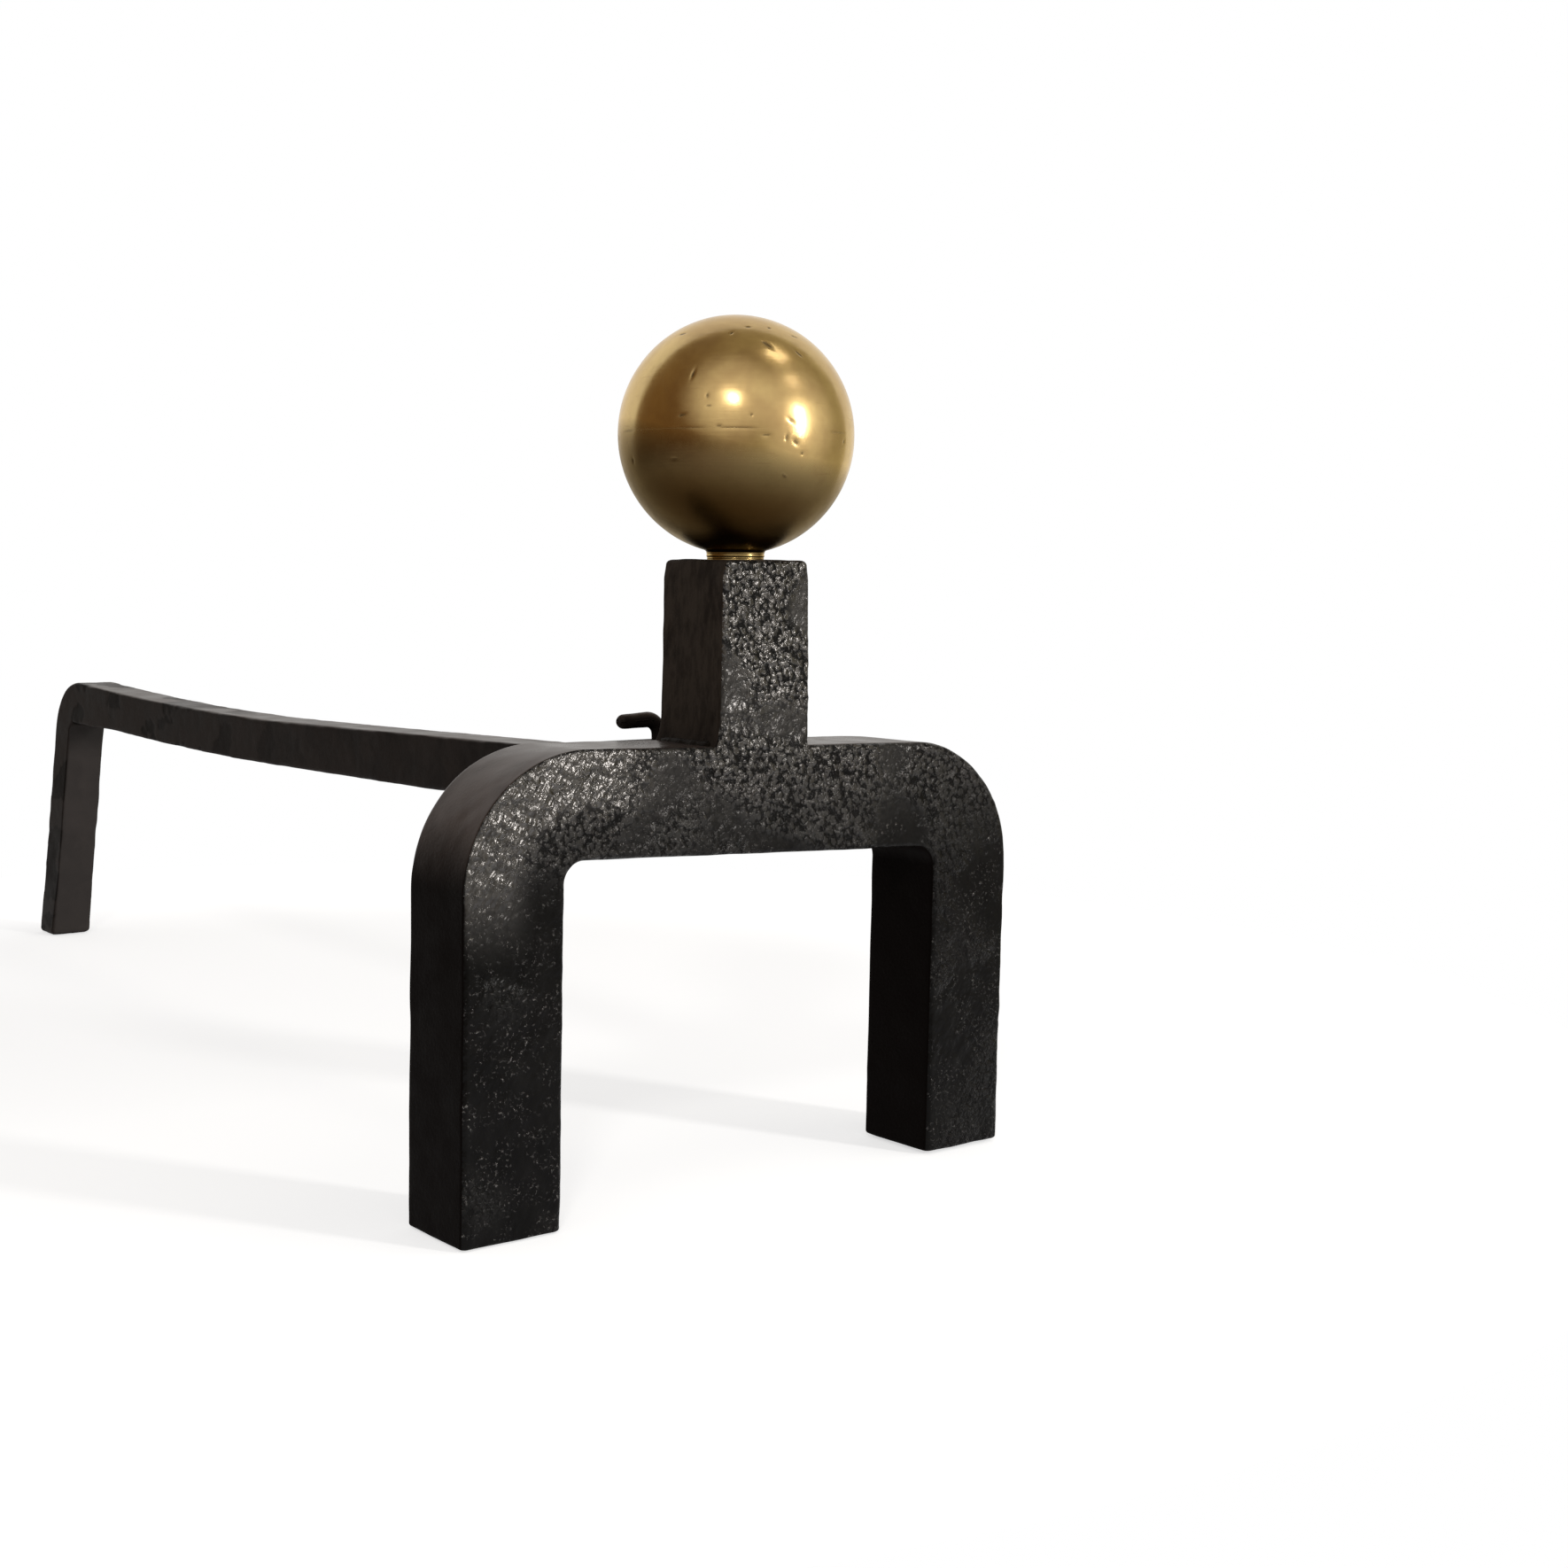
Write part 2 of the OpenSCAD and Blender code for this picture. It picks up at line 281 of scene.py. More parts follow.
def hammered(points, normals, settings):
    """Height of the forged skin, in millimetres, and shares of the waxed front, of the
    upper faces, which are rubbed and paler with a painted sheen, and of coarse grain. The
    front has lumps of 14, 5 and 2.4 mm that fade in patches of 20 mm, low on the post and
    down the legs; the rest is flatter."""
    front = ramp(0.35, 0.75, -normals[..., 1])
    upper = ramp(0.0, 0.55, normals[..., 2]) * (1 - front)
    z = points[..., 2]
    tendency = (0.25 + 0.5 * ramp(180, 203, z) - 0.6 * ramp(160, 172, z)
                - 0.7 * (1 - ramp(95, 140, z)))
    coarse = ramp(-0.45, 0.35, lattice_noise(points, 20, 11) + tendency)
    wide = lattice_noise(points, 15, 12)
    lumps = lattice_noise(points, 5.2, 13)
    grains = lattice_noise(points, 2.4, 14)
    height_front = settings.grain * ((0.20 + 0.80 * coarse) * grains
                                     + (0.35 + 0.45 * coarse) * lumps)
    height_side = 0.10 * lumps * (0.4 + 0.6 * coarse)
    height = settings.wave * wide + front * height_front + (1 - front) * height_side
    return height, front, upper, coarse


def forge(path, plan, settings, edge_start=1.2, edge_stop=1.2, beaten=None):
    """Sweeps a capped path and raises its points by the hammered skin. beaten gives for
    each place along the path and round the section how far it is beaten back, in mm."""
    ends = capped(path, edge_start, edge_stop)
    rows = sweep(plan, *ends)
    if beaten is not None:
        extra = (len(rows) - len(beaten)) // 2
        rows[extra:extra + len(beaten), :, 1] += beaten
    normals = grid_normals(rows)
    height, front, upper, coarse = hammered(rows, normals, settings)
    return (rows + normals * height[..., None],
            {"front": front, "upper": upper, "coarse": coarse})


# ---- materials

class Recipe:
    """A node tree being written: each call adds nodes and gives the output to go on with."""

    def __init__(self, name, kind="materials", place="Object"):
        self.owner = getattr(bpy.data, kind).new(name)
        self.owner.use_nodes = True
        self.tree = self.owner.node_tree
        self.tree.nodes.clear()
        self.place = self.add("TexCoord", take=place)

    def add(self, kind, inputs=None, take=0, **settings):
        """A shader node with its inputs, and the output to take from it."""
        node = self.tree.nodes.new("ShaderNode" + kind)
        for key, value in settings.items():
            setattr(node, key, value)
        for key, value in (inputs or {}).items():
            if isinstance(value, bpy.types.NodeSocket):
                self.tree.links.new(value, node.inputs[key])
            else:
                node.inputs[key].default_value = value
        return node.outputs[take] if node.outputs else None

    def axis(self, number):
        """The place along X, Y or Z (0, 1 or 2)."""
        return self.add("SeparateXYZ", {0: self.place}, number)

    def along(self, way):
        """How far the place lies along a direction."""
        return self.add("VectorMath", {0: self.place, 1: way}, "Value",
                        operation="DOT_PRODUCT")

    def mapped(self, vector_type="POINT", **inputs):
        """The place, moved, turned and stretched."""
        return self.add("Mapping", {"Vector": self.place, **inputs}, vector_type=vector_type)

    def noise_at(self, where, scale, detail, roughness=0.5, take=0):
        """Noise of that many cells a metre, at a place of its own."""
        return self.add("TexNoise", {"Vector": where, "Scale": scale, "Detail": detail,
                                     "Roughness": roughness}, take)

    def noise(self, scale, detail=2.0, roughness=0.5, stretch=None, shift=(0, 0, 0)):
        """Noise of that many cells a metre, stretched along the axes."""
        where = self.place
        if stretch or any(shift):
            where = self.mapped(Location=shift, Scale=stretch or (1, 1, 1))
        return self.noise_at(where, scale, detail, roughness)

    def streaks(self, scale, length, turn):
        """Noise drawn out to that many times its width, in the plane of the arch, along a
        line turned from +X towards +Z by that many degrees."""
        where = self.mapped("TEXTURE", Rotation=(0.0, -math.radians(turn), 0.0),
                            Scale=(length, 1.0, 1.0))
        return self.noise_at(where, scale, 2.0)

    def remap(self, value, low, high, to_low=0.0, to_high=1.0):
        """Smooth step of a value from one range to another."""
        return self.add("MapRange", {0: value, 1: low, 2: high, 3: to_low, 4: to_high},
                        interpolation_type="SMOOTHSTEP")

    def between(self, low, high, noise):
        """A number that goes from low to high as a noise goes from 0.3 to 0.7."""
        return self.remap(noise, 0.3, 0.7, low, high)

    def maths(self, operation, first, *others):
        """The operation on two values, and then on its result and each further value."""
        for value in others:
            first = self.add("Math", {0: first, 1: value}, operation=operation)
        return first

    def plus(self, *values):
        return self.maths("ADD", *values)

    def times(self, *values):
        return self.maths("MULTIPLY", *values)

    def minus(self, first, second):
        return self.maths("SUBTRACT", first, second)

    def paint(self, colour, *coats):
        """A colour under coats of others, each (share, colour)."""
        for share, coat in coats:
            inputs = {6: with_alpha(colour), 7: with_alpha(coat), "Factor": share}
            colour = self.add("Mix", inputs, 2, data_type="RGBA")
        return colour

    def pebbles(self, scale, warp):
        """Rounded pebbles of uneven outline: 1 - (1.25 d)^2, with d the distance from the
        nearest point of a Voronoi pattern whose place is moved by noise of the same size."""
        stir = self.noise_at(self.place, scale, 1.0, take="Color")
        where = self.add("VectorMath", {0: stir, 1: (warp / scale,) * 3, 2: self.place},
                         operation="MULTIPLY_ADD")
        distance = self.add("TexVoronoi", {"Vector": where, "Scale": scale}, "Distance",
                            feature="F1")
        fall = self.maths("POWER", self.times(distance, 1.25), 2.0)
        return self.maths("MAXIMUM", self.minus(1.0, fall), 0.0)

    def mask(self, name):
        """The numbers of that name that a piece carries at its points."""
        return self.add("Attribute", take="Fac", attribute_name=name)

    def finish(self, colour, rough, metal, bumps, **others):
        """Ends the recipe in a Principled surface with bumps laid one on another, each
        (height, strength, distance in metres)."""
        under = {}
        for value, strength, distance in bumps:
            under = {"Normal": self.add("Bump", {"Height": value, "Strength": strength,
                                                 "Distance": distance, **under})}
        named = {key.replace("_", " "): value for key, value in others.items()}
        surface = self.add("BsdfPrincipled", {"Base Color": colour, "Roughness": rough,
                                              "Metallic": metal, **under, **named})
        self.add("OutputMaterial", {"Surface": surface})
        return self.owner


def with_alpha(colour):
    """A colour setting with an alpha, or the socket that it already is."""
    return colour if isinstance(colour, bpy.types.NodeSocket) else (*colour, 1.0)


def waxed_iron(settings):
    """The front's blackened iron: burnished pebbles in a black waxed ground where the grain
    is coarse, a thin even sheen where it is fine, and all of it dimmer down the legs and at
    the right leg, which is painted shade; painted shade also darkens the pits, and a
    painted sheen brightens the worn bend."""
    r = Recipe("waxed black iron")
    # The left bend is partly worn bright and partly given a painted sheen.
    worn_sheen = r.mask("worn_sheen")
    coarse = r.times(r.mask("coarse"), r.remap(worn_sheen, 0, 1, 1, 0.35))
    blotch = r.noise(60, 3, 0.6)
    lumps = r.noise(200, 1, 0.4, shift=(1.3, 2.4, 0.7))
    crumbs = r.noise(1500, 1, 0.5)
    small = r.remap(r.noise(1000, 2, 0.5), 0.25, 0.75)
    grain = r.plus(r.times(r.pebbles(500, 1.3), 0.75), r.times(small, 0.25))
    glints = r.times(r.remap(r.noise(700, 2, 0.6, shift=(3.0, 0.4, 1.7)), 0.55, 0.72),
                     r.remap(r.noise(120, 1, 0.5, shift=(0.2, 1.1, 4.0)), 0.42, 0.60))
    # Painted light: brighter with height, and a painted sheen on the worn bend; brighter too
    # where coarse and in the strewn glints. Painted shade in the pits between the pebbles,
    # and painted shade towards the right leg.
    height = r.axis(2)
    bright = r.plus(r.remap(height, 0.105, 0.205, 0.01, 0.66),
                    r.times(coarse, r.remap(height, 0.09, 0.18, 0.10, 0.48)),
                    r.times(worn_sheen, 0.75), r.times(glints, 1.15))
    crest = r.plus(grain, r.between(-0.03, 0.03, lumps), r.times(crumbs, 0.25))
    # Painted shade: the pits between the pebbles are darkened.
    pit_shade = r.times(r.remap(coarse, 0, 1, 0.25, 1), r.remap(crest, 0.40, 0.84, 0.97, 0.0))
    # Painted shade in the pits and towards the right leg.
    bright = r.times(bright, r.minus(1.0, pit_shade), r.remap(r.axis(0), 0.04, 0.10, 1, 0.65))
    colour = r.paint(settings.iron_front, (r.remap(blotch, 0.35, 0.7), settings.iron_light),
                     (bright, settings.grain_tone))
    share = r.remap(coarse, 0, 1, 0.15, 1)
    swell = r.times(lumps, r.remap(coarse, 0, 1, 0.4, 1))
    strokes = r.times(r.streaks(300, 3.0, 55), r.remap(worn_sheen, 0, 1, 0.25, 1))
    lift = r.plus(r.times(grain, share), r.times(glints, 0.8))
    bumps = ((swell, 1.0, 0.0018), (strokes, 1.0, 0.0018), (lift, 1.0, 0.0005),
             (r.times(crumbs, share), 1.0, 0.00004))
    return r.finish(colour, r.between(0.20, 0.26, blotch), bright, bumps,
                    Specular_IOR_Level=0.06)


def dull_iron(settings):
    """The other faces' blackened iron: almost black down the legs, browner on the post,
    and paler brown-grey where it faces up: partly rubbed, partly a painted sheen."""
    r = Recipe("dry black iron")
    upper = r.mask("upper")
    blotch = r.noise(60, 3, 0.6)
    runs = r.noise(260, 3, 0.65, stretch=(1, 1, 0.35))
    brown = r.plus(r.remap(blotch, 0.25, 0.7, 0.35, 0.75),
                   r.remap(runs, 0.35, 0.65, 0.0, 0.50))
    # Painted sheen on the up-facing faces, with rubbed wear: paler and more metallic.
    rubbed_sheen = r.times(upper, r.between(0.50, 0.78, blotch))
    colour = r.paint(settings.iron_side,
                     (r.times(brown, r.remap(r.axis(2), 0.15, 0.18)), settings.iron_brown),
                     (rubbed_sheen, settings.rubbed_sheen))
    rough = r.minus(r.between(0.42, 0.55, blotch), r.times(upper, 0.17))
    relief = r.times(r.noise(700, 3, 0.6), r.remap(upper, 0, 1, 1, 0.3))
    return r.finish(colour, rough, rubbed_sheen, [(relief, 0.5, 0.0003)],
                    Specular_IOR_Level=0.012)


def scaled_iron(settings):
    """Worn iron: dull brown-black scale with darker flaked patches; brown and paler where it
    faces up, partly rubbed and partly a painted sheen."""
    r = Recipe("worn iron with fire scale")
    flake, upper, rear = r.mask("flake"), r.mask("upper"), r.mask("rear")
    blotch = r.noise(45, 3, 0.6)
    # Painted sheen on the up-facing faces, with rubbed wear; the rear leg's face towards the
    # front is paler too.
    rubbed_sheen = r.plus(r.times(upper, r.between(0.40, 0.65, blotch)), r.times(rear, 0.18),
                    r.between(0.08, 0.17, blotch))
    rubbed_sheen = r.times(rubbed_sheen, r.remap(flake, 0, 1, 1, 0.35))
    colour = r.paint(settings.bar_dark, (r.remap(blotch, 0.35, 0.65), settings.bar_light),
                     (flake, settings.bar_flake), (rubbed_sheen, settings.rubbed_sheen),
                     (r.times(rear, 0.3), settings.grain_tone))
    rough = r.minus(r.between(0.44, 0.58, blotch), r.times(upper, 0.15))
    bumps = ((blotch, 0.4, 0.0006), (r.noise(700, 3, 0.6), 0.35, 0.0002))
    return r.finish(colour, rough, rubbed_sheen, bumps, Specular_IOR_Level=0.02)


def weld_metal(settings):
    """Dressed weld beads: olive-black, with paler and duller blotches."""
    r = Recipe("blackened weld metal")
    blotch = r.noise(150, 2, 0.5)
    colour = r.paint(settings.weld_dark, (r.remap(blotch, 0.35, 0.65), settings.weld_light))
    return r.finish(colour, r.between(0.38, 0.52, blotch), 0.0,
                    [(r.noise(900, 3, 0.6), 0.5, 0.0003)], Specular_IOR_Level=0.04)


# Painted shade on the ball's underside: full this far below the ball's middle, and fading
# over this much height, in metres.
UNDERSIDE_SHADE_LOW, UNDERSIDE_SHADE_DEEP = 0.0450, 0.0415
# The painted shade fades upwards, and sooner on the ball's right and front than on its left.
UNDERSIDE_SHADE_WAY = Vector((0.16485, -0.1302, 1.0))


def aged_brass(settings):
    """Satin brass, browner in clouds and darkened towards its underside by painted shade,
    with fine turning lines, stray scratches, and dirt in the dents."""
    r = Recipe("aged satin brass")
    dent = r.mask("dent")
    cloud = r.noise(28, 4, 0.6)
    mottle = r.noise(170, 4, 0.65)
    lines = r.noise(30, 3, 0.6, stretch=(1, 1, 45))
    strokes = r.noise(55, 2, 0.6, stretch=(1.5, 1.5, 16), shift=(1.3, 2.2, 0.6))
    swell = r.noise(70, 1, 0.4, shift=(0.7, 0.1, 3.0))
    level = r.plus(r.minus(r.along(UNDERSIDE_SHADE_WAY), UNDERSIDE_SHADE_WAY.dot(Vector(BALL_C * MM))),
                   r.between(-0.0012, 0.0012, cloud))
    unshaded = r.maths("DIVIDE", r.plus(level, UNDERSIDE_SHADE_LOW), UNDERSIDE_SHADE_DEEP)
    unshaded = r.maths("POWER", r.maths("MAXIMUM", r.maths("MINIMUM", unshaded, 1.0), 0.0), 5.7)
    neck_top = (NECK_Z + 2.4) * MM
    # Painted shade: the underside darkened to a dark brown, less on the neck below its top.
    underside_shade = r.times(r.minus(1.0, unshaded),
                   r.remap(r.axis(2), neck_top - 0.0006, neck_top, 0.25, 1.0))
    brown = settings.brass_brown
    colour = r.paint(settings.brass, (r.remap(cloud, 0.35, 0.70), brown),
                     (r.remap(mottle, 0.50, 0.80, 0.0, 0.35), brown),
                     (r.remap(strokes, 0.64, 0.72, 0.0, 0.35), brown),
                     (underside_shade, settings.brass_underside_shade), (r.times(dent, 0.85), settings.brass_dirt))
    rough = r.plus(r.between(0.19, 0.25, mottle), r.remap(underside_shade, 0, 1, 0.0, 0.12),
                   r.times(dent, 0.2))
    bumps = ((swell, 0.28, 0.0009), (lines, 0.035, 0.0004), (strokes, 0.05, 0.0003))
    # The coat fades out downwards with the painted shade.
    return r.finish(colour, rough, 1.0, bumps, Specular_Tint=(1.0, 0.88, 0.68, 1.0),
                    Coat_Weight=r.remap(level, -0.020, 0.004, 0.0, 0.35),
                    Coat_Roughness=0.10)


def plain_steel(settings):
    """Steel rod, dull and slightly brown."""
    r = Recipe("plain steel rod")
    blotch = r.noise(300, 3, 0.6)
    lines = r.noise(400, 2, 0.5, stretch=(1, 1, 6))
    colour = r.paint(settings.steel, (r.between(0, 1, blotch), settings.steel_brown))
    return r.finish(colour, r.between(0.3, 0.5, blotch), 1.0, [(lines, 0.3, 0.0002)])


# ---- settings

def tone(name, text, value):
    """A colour that can be set."""
    return FloatVectorProperty(name=name, description=text, default=value, size=3,
                               subtype="COLOR", min=0.0, max=1.0)


def millimetres(name, text, value):
    """A small height or depth that can be set."""
    return FloatProperty(name=name, description=text + ", in mm", default=value, min=0.0,
                         max=0.6)


class ANDIRON_PG_iron(bpy.types.PropertyGroup):
    grain: millimetres("Grain", "Height of the front's grains", 0.26)
    wave: millimetres("Wave", "Height of the long unevenness", 0.24)
    flake_step: millimetres("Flake step", "Depth of the flaked patches", 0.12)
    iron_front: tone("Front", "Waxed black of the front faces", (0.0028, 0.0026, 0.0026))
    iron_light: tone("Front, thin", "Where that black is thinner", (0.0060, 0.0056, 0.0054))
    grain_tone: tone("Grains", "Burnished grains on the front faces", (0.092, 0.088, 0.086))
    iron_side: tone("Sides", "Brown-black of the other faces", (0.0045, 0.0032, 0.0028))
    iron_brown: tone("Sides, brown", "Brown of the post's sides", (0.048, 0.037, 0.029))
    # Rubbed iron and a painted sheen, for the up-facing faces.
    rubbed_sheen: tone("Upper faces", "Rubbed iron on the upper faces", (0.085, 0.066, 0.060))
    bar_dark: tone("Bar", "Dark scale on the log bar", (0.0048, 0.0036, 0.0030))
    bar_light: tone("Bar, worn", "Paler scale on the log bar", (0.0120, 0.0095, 0.0080))
    bar_flake: tone("Bar, flaked", "Bare patches on the log bar", (0.0030, 0.0022, 0.0018))
    weld_dark: tone("Weld", "Weld beads", (0.005, 0.004, 0.0032))
    weld_light: tone("Weld, pale", "Paler blotches on the beads", (0.012, 0.009, 0.007))
    steel: tone("Steel", "Stud", (0.42, 0.40, 0.38))
    steel_brown: tone("Steel, dull", "Rust bloom on the stud", (0.24, 0.18, 0.13))


class ANDIRON_PG_brass(bpy.types.PropertyGroup):
    brass: tone("Brass", "Clean satin brass", (0.62, 0.46, 0.20))
    brass_brown: tone("Browned", "Tarnished brass", (0.42, 0.28, 0.12))
    # Painted shade for the ball's underside.
    brass_underside_shade: tone("Underside", "Sooty underside", (0.030, 0.0145, 0.0036))
    brass_dirt: tone("Dirt", "Dirt in dents and in the seam", (0.07, 0.045, 0.02))
    dent_depth: FloatProperty(name="Dents", description="Depth of the dents, as a share",
                              default=0.7, min=0.0, max=2.0)


class ANDIRON_PG_stage(bpy.types.PropertyGroup):
    lens: FloatProperty(name="Lens", description="Focal length, in mm, on a 36 mm sensor",
                        default=50.03, min=20.0, max=200.0)
    floor: tone("Floor", "Pale studio floor", (0.80, 0.80, 0.80))


# ---- pieces

FOOT_Z = 1.2                    # where a leg's path ends, an edge radius above the floor


def standing(points, depth):
    """Points (x, z) stood up in the plane of that depth."""
    return np.stack([points[:, 0], np.full(len(points), depth), points[:, 1]], axis=-1)


def lengthwise(points):
    """Points (y, z) in the plane x = 0."""
    return np.stack([np.zeros(len(points)), points[:, 0], points[:, 1]], axis=-1)


class ANDIRON_OT_arch(bpy.types.Operator):
    """Bend the square bar into the two-legged front arch"""

    bl_idname = "andiron.arch"
    bl_label = "Forge the arch"

    def execute(self, context):
        settings = context.scene.andiron_iron
        # Feet a little to the left of the bends, the whole arch 1 mm to the left, and a
        # crossbar that falls to the right, more below than above.
        lean, shift = 1.9, -1.0
        width, top = ARCH_HIGH[0], ARCH_HIGH[2]
        bar = ARCH_HIGH[1] - ARCH_LOW[1]

        def outline(left, right, bend_r, high, fall):
            """The left leg, bend, crossbar, bend and right leg, seen from the front. The
            crossbar's height is high where x is 0, and less by fall times x."""
            middles = [np.array((x, high - fall * side - bend_r))
                       for x, side in ((left + bend_r, left), (right - bend_r, right))]
            (_, left_z), (_, right_z) = middles
            points = [line((left - lean, FOOT_Z), (left, left_z), 150),
                      arc(middles[0], bend_r, 180, 90, 84),
                      line(middles[0] + (0, bend_r), middles[1] + (0, bend_r), 150),
                      arc(middles[1], bend_r, 90, 0, 84),
                      line((right, right_z), (right - lean, FOOT_Z), 150)]
            return standing(np.concatenate(points), FRONT_Y + bar / 2)

        outer = outline(shift - width, shift + width, bend_r=48.0, high=top, fall=0.0143)
        inner = outline(shift - width + bar + 1, shift + width - bar, bend_r=8.0,
                        high=top - bar - 1.2, fall=0.036)
        path = between_outlines(outer, inner, (0, -1, 0), bar / 2, 2.0)
        plan = section_plan((26, 46, 26, 18), 6)
        # The front's outer edge is beaten back round the left bend, in slanting strokes
        # 4.6 mm apart. Each sinks slowly over three quarters of its width, and rises fast.
        spots, facing = plan
        round_bend = (ramp(92, 125, outer[:, 2]) * (1 - ramp(-75, -35, outer[:, 0])))[:, None]
        flat = path[0][:, None] + spots[None, :, :1] * (outer - inner)[:, None] / 2
        flat[..., 1] = 0
        front = ramp(0.3, 0.9, facing[None, :, 1])
        edge = ramp(-0.1, 1.0, spots[None, :, 0]) * front
        near = ramp(-0.5, 0.3, spots[None, :, 0]) * front
        strokes = flat @ np.array([0.57, 0, 0.82]) / 4.6 + 0.6 * lattice_noise(flat, 8, 17)
        strokes = strokes - np.floor(strokes)
        strokes = np.where(strokes < 0.75, strokes / 0.75, (1 - strokes) / 0.25)
        strokes = strokes * (0.32 + 0.2 * lattice_noise(flat, 6, 16))
        beaten = round_bend * (1.1 * edge + near * strokes)
        rows, masks = forge(path, plan, settings, beaten=beaten)
        # The beaten band round the left bend: worn, and given a painted sheen in the waxed
        # finish.
        worn_sheen = np.zeros(rows.shape[:2])
        ends = (len(rows) - len(outer)) // 2
        worn_sheen[ends:ends + len(outer)] = round_bend * near
        masks["worn_sheen"] = worn_sheen
        make_piece("arch_forged", [rows], "root", ["arch"],
                   ["dull", "waxed"], masks=masks)
        return {"FINISHED"}


class ANDIRON_OT_post(bpy.types.Operator):
    """Stand the tapered post on the crossbar, its front flush with the arch"""

    bl_idname = "andiron.post"
    bl_label = "Forge the post"

    def execute(self, context):
        settings = context.scene.andiron_iron
        # The front skin runs 5 mm down over the arch and sinks into it there.
        foot, head = POST_LOW[2], POST_HIGH[2]
        foot_half, head_half, narrowing = 20.0, 19.5, 0.9
        z = np.linspace(foot - 5, head - 1.2, 100)
        share = np.clip((z - foot) / (head - foot), 0, 1)
        flare = 3.2 * np.exp(-np.maximum(z - foot, 0) / 4.0)
        half = foot_half + (head_half - foot_half) * ramp(0.2, 1.1, share)
        half = half - narrowing * ramp(head - 7, head, z)
        sink = 0.35 * (1 - ramp(foot - 5, foot - 1.5, z)) - 0.04
        depth = (POST_HIGH[1] - POST_LOW[1]) / 2
        centre = np.stack([0.5 - 0.8 * flare / 2, POST_LOW[1] + depth + sink / 2
                           - 0.4 * ramp(foot, head, z), z], axis=-1)
        path = path_arrays(centre, (1, 0, 0), (0, -1, 0), half + flare / 2, depth - sink / 2,
                           1.8)
        plan = section_plan((44, 54, 44, 60), 6)
        rows, masks = forge(path, plan, settings, edge_stop=1.8)
        # The top, under the neck, gets no painted sheen.
        masks["upper"] *= 0.0                # the top, under the neck, isn't rubbed
        make_piece("post_forged", [rows], "root", ["post"],
                   ["dull", "waxed"], masks=masks)
        return {"FINISHED"}


def bead(start, stop, radius, seed):
    """A dressed weld bead as a swept circle: its radius wanders, with faint ripples."""
    start, stop = np.array(start), np.array(stop)
    length = np.linalg.norm(stop - start)
    t = np.linspace(0, 1, 90)
    centre = start * (1 - t[:, None]) + stop * t[:, None]
    swell = 0.015 * np.abs(np.sin(math.pi * t * length / 2.3)) - 0.03
    wander = 0.22 * lattice_noise(centre, 5.0, seed)
    ends = np.sqrt(np.clip(1 - np.abs(2 * t - 1) ** 6, 0.05, 1))
    size = radius * (1 + swell + wander) * ends
    across = (1.0, 0, 0)
    upward = np.cross((stop - start) / length, across)
    path = path_arrays(centre, across, upward, size, size, size)
    rows = sweep(section_plan((1, 1, 1, 1), 8), *capped(path, 0.3, 0.3, 2, 3))
    normals = grid_normals(rows)
    return rows + normals * (0.12 * lattice_noise(rows, 2.4, seed + 1))[..., None]


class ANDIRON_OT_welds(bpy.types.Operator):
    """Run the weld beads at the post's foot and beside the socket"""

    bl_idname = "andiron.welds"
    bl_label = "Run the welds"

    def execute(self, context):
        x, z = POST_HIGH[0], POST_LOW[2]
        y0, y1 = POST_LOW[1] + 2.2, POST_HIGH[1] - 1.5
        grids = [bead((-x + 0.2, y0, z + 0.2), (-x + 0.2, y1, z + 0.2), 2.3, 31),
                 bead((x + 0.4, y0 + 1, z - 0.2), (x + 0.4, y1, z - 0.2), 2.3, 33)]
        make_piece("post_weld_beads", grids, "root", ["post_welds"], ["weld"])
        x, y = SOCKET_HIGH[0] + 0.6, SOCKET_LOW[1] + 0.8
        z0, z1 = SOCKET_LOW[2] + 1, SOCKET_HIGH[2] - 1
        grids = [bead((side * x, y, z0), (side * x, y, z1), 3.0, seed)
                 for side, seed in ((-1, 35), (1, 37))]
        make_piece("socket_weld_beads", grids, "root", ["socket_welds"],
                   ["weld"])
        return {"FINISHED"}


def curled(start, radius, first, last, foot):
    """An arc that leaves a point, turning from the angle first to last in degrees, and the
    straight line from its end to the foot."""
    middle = np.array(start) - on_circle((0, 0), radius, first)
    return [arc(middle, radius, first, last, 60),
            line(on_circle(middle, radius, last), foot, 100)]


